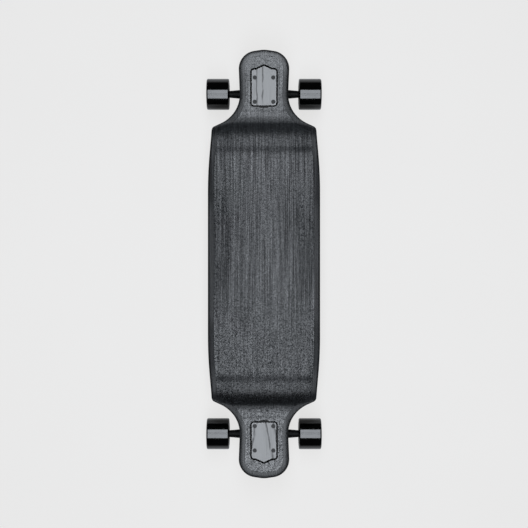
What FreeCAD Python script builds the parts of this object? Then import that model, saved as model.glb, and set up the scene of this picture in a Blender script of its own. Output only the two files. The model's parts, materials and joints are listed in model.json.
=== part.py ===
"""Longboard with two drop-through trucks: +X to the nose, axles along Y, +Z up, floor at Z = 0."""
import FreeCAD, Part
import math
import os
import types

import Sketcher

doc = FreeCAD.newDocument("longboard")

# Driving sizes in millimetres and degrees.
DRIVING_SIZES = (
    # deck, seen from above
    ("deck_length", 952.5),
    ("deck_width", 251.7),
    ("deck_thickness", 12.5),
    ("tip_dome", 0.64),
    ("tip_radius", 60.0),
    ("nose_corner_set", 7.8),
    ("nose_width", 115.1),
    ("nose_radius", 40.0),
    ("truck_inset", 89.35),
    ("waist_set", 54.95),
    ("neck_width", 104.0),
    ("flare_angle", 23.5),
    ("flare_bend_share", 1.088),
    ("rail_taper", 9.5),
    ("shoulder_radius", 11.0),
    ("rail_taper_length", 91.3),
    ("rail_radius", 1000.0),
    # deck, seen from the side and in section
    ("drop_height", 26.0),
    ("drop_set", 67.4),
    ("drop_run", 45.3),
    ("upper_bend_radius", 40.0),
    ("lower_bend_radius", 120.0),
    ("flat_width", 128.0),
    ("rail_rise_angle", 5.0),
    ("concave_radius", 250.0),
    ("bevel_width", 8.0),
    ("bevel_drop", 1.2),
    ("under_edge_radius", 2.5),
    ("grip_thickness", 0.7),
    ("grip_inset", 13.0),
    ("grip_bond", 0.3),
    ("cut_overrun", 20.0),
    # cover plate, base flange and the openings for them
    ("plate_width", 54.5),
    ("plate_inboard", 34.8),
    ("plate_outboard", 44.6),
    ("plate_corner_radius", 5.0),
    ("gable_height", 8.5),
    ("gable_width", 36.0),
    ("gable_radius", 6.0),
    ("gable_foot_radius", 4.0),
    ("flange_thickness", 5.0),
    ("cover_thickness", 1.5),
    ("cover_edge_radius", 0.5),
    ("recess_gap", 3.4),
    ("throat_width", 23.5),
    ("throat_reach", 40.6),
    ("window_width", 38.0),
    ("window_outboard", 19.0),
    ("window_inboard", 17.0),
    ("window_radius", 5.0),
    # mounting bolts and their nuts
    ("bolt_pitch_long", 53.975),
    ("bolt_pitch_wide", 41.275),
    ("bolt_diameter", 4.8),
    ("bolt_clearance", 0.35),
    ("bolt_head_diameter", 9.2),
    ("bolt_head_flat", 0.4),
    ("bolt_tail", 1.5),
    ("bolt_socket_flats", 3.0),
    ("bolt_socket_depth", 1.4),
    ("mount_nut_flats", 8.0),
    ("mount_nut_height", 3.6),
    ("mount_nut_collar", 1.6),
    # steering geometry
    ("wheel_diameter", 70.0),
    ("truck_height", 60.0),
    ("steer_angle", 45.0),
    ("rake", 8.0),
    ("ring_reach", 30.0),
    ("pivot_reach", 25.0),
    # baseplate below its flange
    ("boss_diameter", 34.0),
    ("boss_wall", 9.0),
    ("head_pocket_clearance", 1.2),
    ("tower_width", 19.0),
    ("tower_inboard", 34.0),
    ("tower_outboard", 9.0),
    ("tower_brow_height", 34.0),
    ("tower_knee_inboard", 16.0),
    ("tower_knee_height", 20.0),
    ("tower_foot_depth", 2.0),
    ("tower_radius", 9.0),
    ("window_gap", 1.0),
    ("housing_wall", 3.6),
    ("housing_floor", 3.0),
    # pivot cup and pivot
    ("pivot_diameter", 15.0),
    ("pivot_root_diameter", 22.0),
    ("pivot_neck", 14.0),
    ("pivot_root", 6.0),
    ("pivot_tip_radius", 3.5),
    ("pivot_clearance", 0.08),
    ("pivot_float", 0.4),
    ("cup_wall", 2.8),
    ("cup_floor", 2.4),
    ("cup_depth", 9.5),
    ("cup_lip", 1.2),
    ("cup_lip_height", 1.5),
    # hanger
    ("hanger_width", 180.0),
    ("hanger_end_diameter", 14.0),
    ("hanger_middle_diameter", 24.0),
    ("hanger_middle_length", 60.0),
    ("hanger_face_diameter", 13.0),
    ("hanger_face_length", 2.0),
    ("ring_diameter", 38.0),
    ("ring_thickness", 10.0),
    ("ring_bore", 18.0),
    ("seat_depth", 1.0),
    ("seat_clearance", 0.3),
    ("web_thickness", 9.0),
    ("web_width", 132.0),
    ("web_tail_width", 26.0),
    ("web_flare", 12.0),
    ("web_lead", 9.0),
    ("web_radius", 16.0),
    # kingpin stack
    ("kingpin_diameter", 9.525),
    ("kingpin_clearance", 0.2),
    ("kingpin_head_flats", 14.3),
    ("kingpin_head_height", 6.0),
    ("kingpin_tail", 3.0),
    ("kingpin_nut_height", 7.0),
    ("kingpin_nut_collar", 2.6),
    ("bushing_diameter", 26.0),
    ("board_bushing_height", 14.0),
    ("road_bushing_height", 12.0),
    ("road_bushing_end_diameter", 20.0),
    ("bushing_round", 1.5),
    ("washer_thickness", 1.5),
    ("board_washer_diameter", 30.0),
    ("road_washer_diameter", 24.0),
    ("washer_lip", 1.0),
    ("washer_lip_wall", 1.2),
    # wheel and its bearings
    ("wheel_width", 51.0),
    ("wheel_offset", 1.5),
    ("wheel_lip_radius", 3.0),
    ("wheel_face_diameter", 56.0),
    ("core_diameter", 38.0),
    ("core_width", 28.0),
    ("core_rib_count", 10),
    ("core_pocket_width", 4.6),
    ("core_pocket_depth", 3.5),
    ("core_pocket_radius", 15.0),
    ("core_shelf_diameter", 17.0),
    ("tyre_dish", 2.0),
    ("axle_diameter", 8.0),
    ("axle_tail", 2.0),
    ("axle_end_chamfer", 0.8),
    ("axle_nut_flats", 12.7),
    ("axle_nut_height", 4.6),
    ("axle_nut_collar", 2.0),
    ("speed_ring_diameter", 11.5),
    ("speed_ring_thickness", 1.0),
    ("spacer_length", 10.0),
    ("spacer_diameter", 10.4),
    ("bearing_diameter", 22.0),
    ("bearing_width", 7.0),
    ("inner_ring_diameter", 11.8),
    ("outer_ring_bore", 18.2),
    ("ball_diameter", 3.969),
    ("ball_circle_diameter", 15.0),
    ("ball_count", 7),
    ("ball_clearance", 0.1),
    ("retainer_wall", 1.0),
    ("retainer_back", 2.6),
    ("retainer_front", 1.0),
    ("shield_gap", 0.25),
    ("shield_thickness", 0.35),
    ("shield_set", 0.2),
    ("nut_chamfer", 0.6),
)

sheet = doc.addObject("Spreadsheet::Sheet", "Sizes")
for row, (alias, number) in enumerate(DRIVING_SIZES, start=1):
    sheet.set(f"A{row}", alias)
    sheet.set(f"B{row}", str(number))
    sheet.setAlias(f"B{row}", alias)
doc.recompute()


class Size:
    """A number together with the formula over the sheet that gives it."""

    def __init__(self, number, formula):
        self.number = number
        self.formula = formula

    def __add__(self, other):
        return joined(self, "+", other)

    def __radd__(self, other):
        return joined(other, "+", self)

    def __sub__(self, other):
        return joined(self, "-", other)

    def __rsub__(self, other):
        return joined(other, "-", self)

    def __mul__(self, other):
        return joined(self, "*", other)

    def __rmul__(self, other):
        return joined(other, "*", self)

    def __truediv__(self, other):
        return joined(self, "/", other)

    def __neg__(self):
        return joined(0, "-", self)


OPERATIONS = {
    "+": lambda first, second: first + second,
    "-": lambda first, second: first - second,
    "*": lambda first, second: first * second,
    "/": lambda first, second: first / second,
}


def lifted(value):
    """A plain number as a Size."""
    return value if isinstance(value, Size) else Size(value, repr(value))


def joined(first, sign, second):
    """Two sizes joined by a sign, as a number and as a formula."""
    first, second = lifted(first), lifted(second)
    number = OPERATIONS[sign](first.number, second.number)
    return Size(number, f"({first.formula} {sign} {second.formula})")


def sine(angle):
    return Size(math.sin(math.radians(angle.number)), f"sin({angle.formula})")


def cosine(angle):
    return Size(math.cos(math.radians(angle.number)), f"cos({angle.formula})")


def tangent(angle):
    return Size(math.tan(math.radians(angle.number)), f"tan({angle.formula})")


s = types.SimpleNamespace(**{alias: Size(number, f"Sizes.{alias}") for alias, number in DRIVING_SIZES})

# Places that several pieces share.
half_length = s.deck_length / 2
truck_x = half_length - s.truck_inset
axle_height = s.wheel_diameter / 2
neck_top = axle_height + s.truck_height + s.cover_thickness
recess_depth = s.flange_thickness + s.cover_thickness
flange_under = s.truck_height - s.flange_thickness
deck_under = s.truck_height + s.cover_thickness - s.deck_thickness
# Steering axis (rising outboard) and kingpin (falling outboard), seen from the side of a truck.
axis_x, axis_z = cosine(s.steer_angle), sine(s.steer_angle)
king_x, king_z = sine(s.steer_angle), -cosine(s.steer_angle)
# The kingpin stack, measured from the middle of the hanger's ring, positive towards the road.
bushing_face = s.ring_thickness / 2 - s.seat_depth
board_washer_face = bushing_face + s.board_bushing_height
boss_face = board_washer_face + s.washer_thickness
head_face = boss_face + s.boss_wall
road_washer_face = bushing_face + s.road_bushing_height
nut_face = road_washer_face + s.washer_thickness
# The wheel stack along the axle, measured from the middle of the truck.
bearing_offset = (s.spacer_length + s.bearing_width) / 2
wheel_y = s.hanger_width / 2 + s.speed_ring_thickness + s.bearing_width + s.spacer_length / 2
outer_ring_y = wheel_y + bearing_offset + s.bearing_width / 2
axle_nut_y = outer_ring_y + s.speed_ring_thickness
axle_half = axle_nut_y + s.axle_nut_height + s.axle_nut_collar + s.axle_tail


def on_axis(along, across=0):
    """Point beside a truck's axle: along the steering axis, then across it towards the road."""
    foot = lifted(across) - s.rake
    return along * axis_x + foot * king_x, along * axis_z + foot * king_z


def bind(thing, path, value):
    """Tie one property of a document object to the sheet."""
    thing.setExpression(path, lifted(value).formula)


def place(thing, x=0, y=0, z=0, yaw=0, pitch=0, roll=0, path="Placement"):
    """Tie an object's place and turn to the sheet; turns are in degrees."""
    x, y, z, yaw, pitch, roll = (lifted(value).formula for value in (x, y, z, yaw, pitch, roll))
    thing.setExpression(path, f"placement(vector({x}; {y}; {z}); rotation({yaw}; {pitch}; {roll}))")


class Drawing:
    """Collects a sketch's constraints, so that they are added and tied to the sheet together."""

    def __init__(self, sketch):
        self.sketch = sketch
        self.constraints = []
        self.ties = []

    def add(self, kind, *references, value=None):
        if value is None:
            self.constraints.append(Sketcher.Constraint(kind, *references))
            return
        self.ties.append((len(self.constraints), value))
        self.constraints.append(Sketcher.Constraint(kind, *references, value.number))

    def pin(self, geometry, point, x, y):
        """Hold one point at x, y from the sketch's origin."""
        for kind, axis, value in (("DistanceX", -2, lifted(x)), ("DistanceY", -1, lifted(y))):
            if value.number == 0:
                self.add("PointOnObject", geometry, point, axis)
            else:
                self.add(kind, -1, 1, geometry, point, value=value)

    def close(self):
        """Put the constraints into the sketch and tie their values to the sheet."""
        first = len(self.sketch.Constraints)
        self.sketch.addConstraint(self.constraints)
        for index, value in self.ties:
            bind(self.sketch, f"Constraints[{first + index}]", value)


def flat_point(corner):
    return FreeCAD.Vector(lifted(corner[0]).number, lifted(corner[1]).number, 0)


def corner_points(corners):
    """For each corner: where its rounding starts and ends, and the middle of the arc."""
    flat = [flat_point(corner) for corner in corners]
    points = []
    for index, corner in enumerate(corners):
        here = flat[index]
        if len(corner) == 2:
            points.append((here, here, None))
            continue
        back = (flat[index - 1] - here).normalize()
        ahead = (flat[(index + 1) % len(flat)] - here).normalize()
        half_angle = back.getAngle(ahead) / 2
        radius = corner[2].number
        run = radius / math.tan(half_angle)
        inward = (back + ahead).normalize()
        middle = here + inward * (radius / math.sin(half_angle) - radius)
        points.append((here + back * run, here + ahead * run, middle))
    return points


def draw(sketch, corners, closed=True):
    """Straight sides through the corners (x, y) or, with tangent arcs, (x, y, radius)."""
    points = corner_points(corners)
    count = len(corners)
    sides = count if closed else count - 1
    drawing = Drawing(sketch)
    lines = []
    for index in range(sides):
        side = Part.LineSegment(points[index][1], points[(index + 1) % count][0])
        lines.append(sketch.addGeometry(side, False))
    for index, corner in enumerate(corners):
        before = lines[index - 1] if closed or index > 0 else None
        after = lines[index] if index < sides else None
        start, end, middle = points[index]
        if middle is None:
            if before is not None and after is not None:
                drawing.add("Coincident", before, 2, after, 1)
            held, end_point = (after, 1) if after is not None else (before, 2)
            drawing.pin(held, end_point, corner[0], corner[1])
            continue
        turns_left = (middle - start).cross(end - start).z > 0
        ends = (start, middle, end) if turns_left else (end, middle, start)
        arc = sketch.addGeometry(Part.Arc(*ends), False)
        first, last = (1, 2) if turns_left else (2, 1)
        drawing.add("Tangent", before, 2, arc, first)
        drawing.add("Tangent", after, 1, arc, last)
        drawing.add("Radius", arc, value=corner[2])
        point = sketch.addGeometry(Part.Point(flat_point(corner)), True)
        drawing.add("PointOnObject", point, 1, before)
        drawing.add("PointOnObject", point, 1, after)
        drawing.pin(point, 1, corner[0], corner[1])
    drawing.close()


def draw_circle(sketch, x, y, diameter):
    """A circle of a given diameter round x, y."""
    round_line = Part.Circle(flat_point((x, y)), FreeCAD.Vector(0, 0, 1), diameter.number / 2)
    circle = sketch.addGeometry(round_line, False)
    drawing = Drawing(sketch)
    drawing.add("Radius", circle, value=diameter / 2)
    drawing.pin(circle, 3, x, y)
    drawing.close()


def sketched(name, corners=None, circles=(), closed=True, **spot):
    """A free sketch of corners and circles at a spot of the document."""
    sketch = doc.addObject("Sketcher::SketchObject", name)
    if corners:
        draw(sketch, corners, closed)
    for x, y, diameter in circles:
        draw_circle(sketch, x, y, diameter)
    place(sketch, **spot)
    return sketch


def extruded(name, profile, length, both_ways=False):
    """A prism of a profile along its own normal."""
    prism = doc.addObject("Part::Extrusion", name)
    prism.Base = profile
    prism.DirMode = "Normal"
    prism.Solid = True
    prism.Symmetric = both_ways
    bind(prism, "LengthFwd", length)
    return prism


def cut(name, base, *tools):
    """A base with tools taken out of it."""
    for index, tool in enumerate(tools):
        result = doc.addObject("Part::Cut", f"{name}_less_{index}")
        result.Base = base
        result.Tool = tool
        base = result
    return base


def fused(name, *shapes):
    """Several shapes made one."""
    result = doc.addObject("Part::MultiFuse", name)
    result.Shapes = list(shapes)
    result.Refine = True
    return result


def shared(name, first, second):
    """What two shapes have in common."""
    result = doc.addObject("Part::Common", name)
    result.Base = first
    result.Tool = second
    return result


def mirrored(name, source, normal):
    """A tool's mirror image across the plane through the origin with a given normal."""
    result = doc.addObject("Part::Mirroring", name)
    result.Source = source
    result.Normal = normal
    return result


def eased(name, kind, base, edges, first, second):
    """A base with some of its edges rounded (a Fillet of equal sizes) or bevelled (a Chamfer)."""
    result = doc.addObject(f"Part::{kind}", name)
    result.Base = base
    result.Edges = [(index, first.number, second.number) for index in edges]
    return result


def rounded(name, base, edges, radius):
    """A base with some of its edges rounded."""
    return eased(name, "Fillet", base, edges, radius, radius)


def plane_of(body, role):
    return next(plane for plane in body.Origin.OriginFeatures if plane.Role == role)


def body_sketch(body, role, name, corners=None, circles=(), lift=0):
    """A sketch on one of a body's own planes, lifted along the plane's normal."""
    sketch = body.newObject("Sketcher::SketchObject", name)
    sketch.AttachmentSupport = [(plane_of(body, role), "")]
    sketch.MapMode = "FlatFace"
    bind(sketch, "AttachmentOffset.Base.z", lift)
    if corners:
        draw(sketch, corners)
    for x, y, diameter in circles:
        draw_circle(sketch, x, y, diameter)
    return sketch


def turned(name, corners, **spot):
    """A body turned about its own Z from corners (radius, height), at a spot of the document."""
    body = doc.addObject("PartDesign::Body", name)
    turn(body, f"{name}_turning", body_sketch(body, "XZ_Plane", f"{name}_profile", corners))
    place(body, **spot)
    return body


def turn(body, name, sketch, kind="Revolution"):
    """A full turn of a sketch about its upright axis, added or taken away."""
    feature = body.newObject(f"PartDesign::{kind}", name)
    feature.Profile = sketch
    feature.ReferenceAxis = (sketch, ["V_Axis"])
    feature.Angle = 360
    return feature


def pad(body, name, sketch, length, both_ways=False):
    feature = body.newObject("PartDesign::Pad", name)
    feature.Profile = sketch
    feature.Midplane = both_ways
    bind(feature, "Length", length)
    return feature


def pocket(body, name, sketch, depth=None):
    """A cut down from a sketch, to a depth or right through both ways."""
    feature = body.newObject("PartDesign::Pocket", name)
    feature.Profile = sketch
    if depth is None:
        feature.Type = "ThroughAll"
        feature.Midplane = True
    else:
        bind(feature, "Length", depth)
    return feature


def hexagon(flats):
    """The six corners of a hexagon across given flats."""
    corner = flats / math.sqrt(3)
    half = flats / 2
    right = [(corner / 2, -half), (corner, 0), (corner / 2, half)]
    return [*right, *[(-x, y) for x, y in reversed(right)]]


def sleeve(low, high, inner, outer):
    """The four corners of a plain ring's section."""
    return [(inner, low), (outer, low), (outer, high), (inner, high)]


def lock_nut(name, flats, height, collar, bore, **spot):
    """A hexagon nut standing on Z = 0, with chamfered corners and a round locking collar on top."""
    body = doc.addObject("PartDesign::Body", name)
    pad(body, f"{name}_hexagon", body_sketch(body, "XY_Plane", f"{name}_flats", hexagon(flats)), height)
    corner = flats / math.sqrt(3)
    chamfers = [(flats / 2 - s.nut_chamfer, height), (corner, height), (corner, height - s.nut_chamfer)]
    turn(body, f"{name}_chamfer", body_sketch(body, "XZ_Plane", f"{name}_corner", chamfers), "Groove")
    collar_top = height + collar
    inner, outer = bore / 2, flats / 2 - s.nut_chamfer
    dome = [(inner, height), (outer, height), (outer, collar_top, collar / 2), (inner, collar_top)]
    turn(body, f"{name}_collar", body_sketch(body, "XZ_Plane", f"{name}_dome", dome))
    pocket(body, f"{name}_bore", body_sketch(body, "XY_Plane", f"{name}_hole", circles=[(0, 0, bore)]))
    place(body, **spot)
    return body


def copies_of(name, piece, spots):
    """Placed copies of one piece, kept together."""
    links = []
    for index, spot in enumerate(spots):
        link = doc.addObject("App::Link", f"{name}_copy_{index}")
        link.LinkedObject = piece
        link.LinkTransform = True
        place(link, **spot)
        links.append(link)
    group = doc.addObject("Part::Compound", name)
    group.Links = links
    return group


nodes = []


def node(label, piece, *spots):
    """A named sub-part: placed copies of a piece, kept as separate solids."""
    group = copies_of(label, piece, spots or [{}])
    group.Label = label
    nodes.append(group)


# Deck


def deck_outline(name):
    """The board from above: domed tip, nose corner, waist, shoulder and rail, four ways alike."""
    nose = (half_length - s.nose_corner_set, s.nose_width / 2, s.nose_radius)
    shoulder_half = s.deck_width / 2 - s.rail_taper
    flare_step = shoulder_half - s.neck_width / 2
    waist = (truck_x - s.waist_set, s.neck_width / 2, flare_step * s.flare_bend_share)
    shoulder = (waist[0] - flare_step * tangent(s.flare_angle), shoulder_half, s.shoulder_radius)
    rail = (shoulder[0] - s.rail_taper_length, s.deck_width / 2, s.rail_radius)
    left = [nose, waist, shoulder, rail]
    tip = (half_length + s.tip_dome, 0, s.tip_radius)
    tail_left = [(-x, y, radius) for x, y, radius in reversed(left)]
    tail_tip = (-tip[0], 0, s.tip_radius)
    right = [(x, -y, radius) for x, y, radius in reversed([tip, *left, *tail_left][1:])]
    return sketched(name, [tip, *left, *tail_left, tail_tip, *right])


def deck_path(name, lift):
    """The board's line from the side, tip to tip: raised necks and the dropped platform."""
    top = neck_top + lift
    end = half_length + s.cut_overrun
    upper = (truck_x - s.drop_set, top, s.upper_bend_radius)
    lower = (upper[0] - s.drop_run, top - s.drop_height, s.lower_bend_radius)
    nose_half = [(end, top), upper, lower]
    tail_half = [(-lower[0], *lower[1:]), (-upper[0], *upper[1:]), (-end, top)]
    return sketched(name, nose_half + tail_half, closed=False, roll=90)


def deck_section(name, lift, thickness):
    """Flat middle and rising rails, as a band of even thickness hung under the path's end."""
    reach = s.deck_width / 2 + s.cut_overrun
    flat = s.flat_width / 2
    rise = (reach - flat) * tangent(s.rail_rise_angle)
    top = [(reach, rise), (flat, 0, s.concave_radius), (-flat, 0, s.concave_radius), (-reach, rise)]
    under_radius = s.concave_radius + thickness
    under = [
        (-reach, rise - thickness),
        (-flat, -thickness, under_radius),
        (flat, -thickness, under_radius),
        (reach, rise - thickness),
    ]
    end = half_length + s.cut_overrun
    return sketched(name, top + under, x=end, z=neck_top + lift, yaw=90, roll=90)


def deck_sweep(name, lift, thickness):
    """The board's bent sheet before it is cut to its outline."""
    sweep = doc.addObject("Part::Sweep", name)
    sweep.Sections = [deck_section(f"{name}_section", lift, thickness)]
    sweep.Spine = (deck_path(f"{name}_path", lift), [])
    sweep.Solid = True
    sweep.Frenet = False
    return sweep


def plate_corners():
    """The cover plate and flange from above, about the bolt pattern, nose to the right."""
    half = s.plate_width / 2
    gable = s.gable_width / 2
    left = [
        (s.plate_outboard, gable, s.gable_foot_radius),
        (s.plate_outboard, half, s.plate_corner_radius),
        (-s.plate_inboard, half, s.plate_corner_radius),
    ]
    apex = (s.plate_outboard + s.gable_height, 0, s.gable_radius)
    return [apex, *left, *[(x, -y, radius) for x, y, radius in reversed(left)]]


def window_corners():
    """The opening through the deck: a wide window for the boss and a throat for the pivot tower."""
    wide, narrow = s.window_width / 2, s.throat_width / 2
    left = [
        (s.window_outboard, wide, s.window_radius),
        (-s.window_inboard, wide, s.window_radius),
        (-s.window_inboard - s.window_radius, narrow),
        (-s.throat_reach, narrow, s.window_radius),
    ]
    return [*left, *[(x, -y, *radius) for x, y, *radius in reversed(left)]]


def bolt_spots():
    """The four mounting bolts about the pattern's centre."""
    return [(x * s.bolt_pitch_long / 2, y * s.bolt_pitch_wide / 2) for x in (1, -1) for y in (1, -1)]


def edge_numbers(shape, upward):
    """Edges where the upright rim meets the top (or the underside) of the board."""
    found = []
    for number, edge in enumerate(shape.Edges, start=1):
        tilts = []
        for face in shape.ancestorsOfType(edge, Part.Face):
            u_low, u_high, v_low, v_high = face.ParameterRange
            tilts.append(face.normalAt((u_low + u_high) / 2, (v_low + v_high) / 2).z)
        upright = [tilt for tilt in tilts if abs(tilt) < UPRIGHT_SHARE]
        facing = [tilt for tilt in tilts if abs(tilt) >= UPRIGHT_SHARE and (tilt > 0) == upward]
        if len(upright) == 1 and len(facing) == 1:
            found.append(number)
    return found


UPRIGHT_SHARE = 0.1
outline = deck_outline("deck_outline")
blank = deck_sweep("deck_sweep", 0, s.deck_thickness)
board = shared("deck_trimmed", blank, extruded("deck_prism", outline, neck_top + s.cut_overrun))
doc.recompute()
board = eased("deck_bevel", "Chamfer", board, edge_numbers(board.Shape, True), s.bevel_width, s.bevel_drop)
doc.recompute()
board = rounded("deck_under_round", board, edge_numbers(board.Shape, False), s.under_edge_radius)

plate_at_truck = sketched("plate_at_truck", plate_corners(), x=truck_x, z=neck_top - recess_depth)
recess_line = doc.addObject("Part::Offset2D", "recess_line")
recess_line.Source = plate_at_truck
bind(recess_line, "Value", s.recess_gap)
recess = extruded("recess", recess_line, recess_depth + s.cut_overrun)
window = extruded("window", sketched("window_line", window_corners(), x=truck_x), neck_top + s.cut_overrun)
hole = s.bolt_diameter + s.bolt_clearance * 2
bolt_holes = sketched("bolt_holes", circles=[(x, y, hole) for x, y in bolt_spots()], x=truck_x)
drill = extruded("drill", bolt_holes, neck_top + s.cut_overrun)
front_tools = fused("front_tools", recess, window, drill)
board = cut("deck", board, front_tools, mirrored("rear_tools", front_tools, FreeCAD.Vector(1, 0, 0)))
node("deck", board)

grip_line = doc.addObject("Part::Offset2D", "grip_line")
grip_line.Source = outline
bind(grip_line, "Value", -s.grip_inset)
grip_lift = s.grip_bond + s.grip_thickness
grip = shared(
    "grip_trimmed",
    deck_sweep("grip_sweep", grip_lift, s.grip_thickness),
    extruded("grip_prism", grip_line, neck_top + s.cut_overrun),
)
grip = cut("grip", grip, recess, mirrored("rear_recess", recess, FreeCAD.Vector(1, 0, 0)))
node("grip_sheet", grip)

# Truck pieces, each about the middle of its axle with +X outboard
ring_x, ring_z = on_axis(s.ring_reach)
foot_x, foot_z = on_axis(0)
along_king = {"x": ring_x, "z": ring_z, "pitch": -s.steer_angle}
along_steer = {"x": foot_x, "z": foot_z, "pitch": 90 - s.steer_angle}
along_axle = {"roll": -90}
cover_top = s.truck_height + s.cover_thickness
bolt_places = [{"x": x, "y": y, "z": cover_top} for x, y in bolt_spots()]

# Mounting bolts, their countersunk holes and their nuts.
shank, head = s.bolt_diameter / 2, s.bolt_head_diameter / 2
bolt_low = -(s.deck_thickness + s.mount_nut_height + s.mount_nut_collar + s.bolt_tail)
cone_low = -s.bolt_head_flat - (head - shank)
bolt_line = [
    (0, 0),
    (0, bolt_low),
    (shank, bolt_low),
    (shank, cone_low),
    (head, -s.bolt_head_flat),
    (head, 0),
]
bolt = turned("bolt", bolt_line)
bolt_key = body_sketch(bolt, "XY_Plane", "bolt_key", hexagon(s.bolt_socket_flats))
pocket(bolt, "bolt_socket", bolt_key, s.bolt_socket_depth)
wide_shank, wide_head = shank + s.bolt_clearance, head + s.bolt_clearance
sink_line = [
    (0, s.cut_overrun),
    (0, -s.cut_overrun),
    (wide_shank, -s.cut_overrun),
    (wide_shank, cone_low + s.bolt_clearance),
    (wide_head, s.bolt_clearance - s.bolt_head_flat),
    (wide_head, s.cut_overrun),
]
sinks = copies_of("sinks", turned("sink", sink_line), bolt_places)
mount_nut_sizes = (s.mount_nut_flats, s.mount_nut_height, s.mount_nut_collar)
mount_nut = lock_nut("mount_nut", *mount_nut_sizes, s.bolt_diameter)

# Cover plate: a thin sheet over the base, its top edge rounded, countersunk for the bolts.
cover_line = sketched("cover_line", plate_corners(), z=s.truck_height)
cover = extruded("cover_sheet", cover_line, s.cover_thickness)
doc.recompute()
cover_middle = (s.truck_height + s.cover_thickness / 2).number
cover_edges = enumerate(cover.Shape.Edges, start=1)
rim = [number for number, edge in cover_edges if edge.BoundBox.ZMin > cover_middle]
cover = cut("cover_plate", rounded("cover_round", cover, rim, s.cover_edge_radius), sinks)

# Baseplate: flange, kingpin boss, tower and pivot housing.
cup_inner = s.pivot_diameter / 2 + s.pivot_clearance
cup_outer = cup_inner + s.cup_wall
cup_seat = -(s.pivot_reach + s.pivot_float)
cup_back = cup_seat - s.cup_floor
cup_mouth = cup_seat + s.cup_depth
housing_mouth = cup_mouth - s.cup_lip_height
housing_back = cup_back - s.housing_floor
housing_outer = cup_outer + s.housing_wall
flange = extruded("flange", sketched("flange_line", plate_corners(), z=flange_under), s.flange_thickness)
boss_line = doc.addObject("Part::Offset2D", "boss_line")
boss_line.Source = sketched("boss_window", window_corners())
bind(boss_line, "Value", -s.window_gap)
boss_high = boss_face + s.truck_height
boss_round = turned("boss_round", sleeve(boss_face, boss_high, 0, s.boss_diameter / 2), **along_king)
boss = shared("boss", boss_round, extruded("boss_prism", boss_line, s.truck_height))
tower_top = s.truck_height - s.flange_thickness / 2
tower_line = [
    (-s.tower_inboard, tower_top),
    (-s.tower_inboard, -s.tower_foot_depth, s.tower_radius),
    on_axis((housing_mouth + housing_back) / 2),
    on_axis(housing_mouth, -cup_outer - s.housing_wall / 2),
    (-s.tower_knee_inboard, s.tower_knee_height),
    (-s.tower_outboard, s.tower_brow_height),
    (-s.tower_outboard, tower_top),
]
tower = extruded("tower", sketched("tower_line", tower_line, roll=90), s.tower_width, both_ways=True)
housing_line = [
    (0, housing_back),
    (housing_outer, housing_back, s.housing_wall),
    (housing_outer, housing_mouth),
    (0, housing_mouth),
]
housing = turned("housing", housing_line, **along_steer)
pin_hole = s.kingpin_diameter / 2 + s.kingpin_clearance
pin_bore = turned("pin_bore", sleeve(0, boss_high, 0, pin_hole), **along_king)
head_corner = s.kingpin_head_flats / math.sqrt(3)
head_pocket_line = sleeve(head_face, boss_high, 0, head_corner + s.head_pocket_clearance)
head_pocket = turned("head_pocket", head_pocket_line, **along_king)
cup_bore = turned("cup_bore", sleeve(cup_back, cup_mouth, 0, cup_outer), **along_steer)
solid_base = fused("solid_base", flange, boss, tower, housing)
baseplate = cut("baseplate", solid_base, pin_bore, head_pocket, cup_bore, sinks)

# Pivot cup: a lipped pot round the hanger's pivot.
cup_line = [
    (0, cup_back),
    (cup_outer, cup_back),
    (cup_outer, housing_mouth),
    (cup_outer + s.cup_lip, housing_mouth),
    (cup_outer + s.cup_lip, cup_mouth),
    (cup_inner, cup_mouth),
    (cup_inner, cup_seat),
    (0, cup_seat),
]
cup = turned("cup", cup_line, **along_steer)

# Kingpin, its nut, the two bushings and their cupped washers.
pin = s.kingpin_diameter / 2
pin_low = -(nut_face + s.kingpin_nut_height + s.kingpin_nut_collar + s.kingpin_tail)
pin_line = [
    (0, pin_low),
    (pin - s.nut_chamfer, pin_low),
    (pin, pin_low + s.nut_chamfer),
    (pin, head_face),
    (0, head_face),
]
kingpin = turned("kingpin", pin_line, **along_king)
pin_head = body_sketch(kingpin, "XY_Plane", "kingpin_flats", hexagon(s.kingpin_head_flats), lift=head_face)
pad(kingpin, "kingpin_head", pin_head, s.kingpin_head_height)
nut_x, nut_z = on_axis(s.ring_reach, nut_face)
nut_turn = {"x": nut_x, "z": nut_z, "pitch": 180 - s.steer_angle}
king_nut_sizes = (s.kingpin_head_flats, s.kingpin_nut_height, s.kingpin_nut_collar)
king_nut = lock_nut("king_nut", *king_nut_sizes, s.kingpin_diameter, **nut_turn)
bushing = s.bushing_diameter / 2
bushing_end = s.road_bushing_end_diameter / 2
board_bushing_line = [
    (pin_hole, bushing_face),
    (bushing, bushing_face, s.bushing_round),
    (bushing, board_washer_face, s.bushing_round),
    (pin_hole, board_washer_face),
]
board_bushing = turned("board_bushing", board_bushing_line, **along_king)
road_bushing_line = [
    (pin_hole, -road_washer_face),
    (bushing_end, -road_washer_face, s.bushing_round),
    (bushing, -bushing_face, s.bushing_round),
    (pin_hole, -bushing_face),
]
road_bushing = turned("road_bushing", road_bushing_line, **along_king)


def cupped_washer(name, outer, back, face, rim_end):
    """A washer with a rim turned up round the bushing's end."""
    inner = outer - s.washer_lip_wall
    section = [(pin_hole, back), (outer, back), (outer, rim_end)]
    section += [(inner, rim_end), (inner, face), (pin_hole, face)]
    return turned(name, section, **along_king)


board_rim = board_washer_face - s.washer_lip
road_rim = s.washer_lip - road_washer_face
wide, narrow = s.board_washer_diameter / 2, s.road_washer_diameter / 2
board_washer = cupped_washer("board_washer", wide, boss_face, board_washer_face, board_rim)
road_washer = cupped_washer("road_washer", narrow, -nut_face, -road_washer_face, road_rim)
washers = doc.addObject("Part::Compound", "washers")
washers.Links = [board_washer, road_washer]

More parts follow.
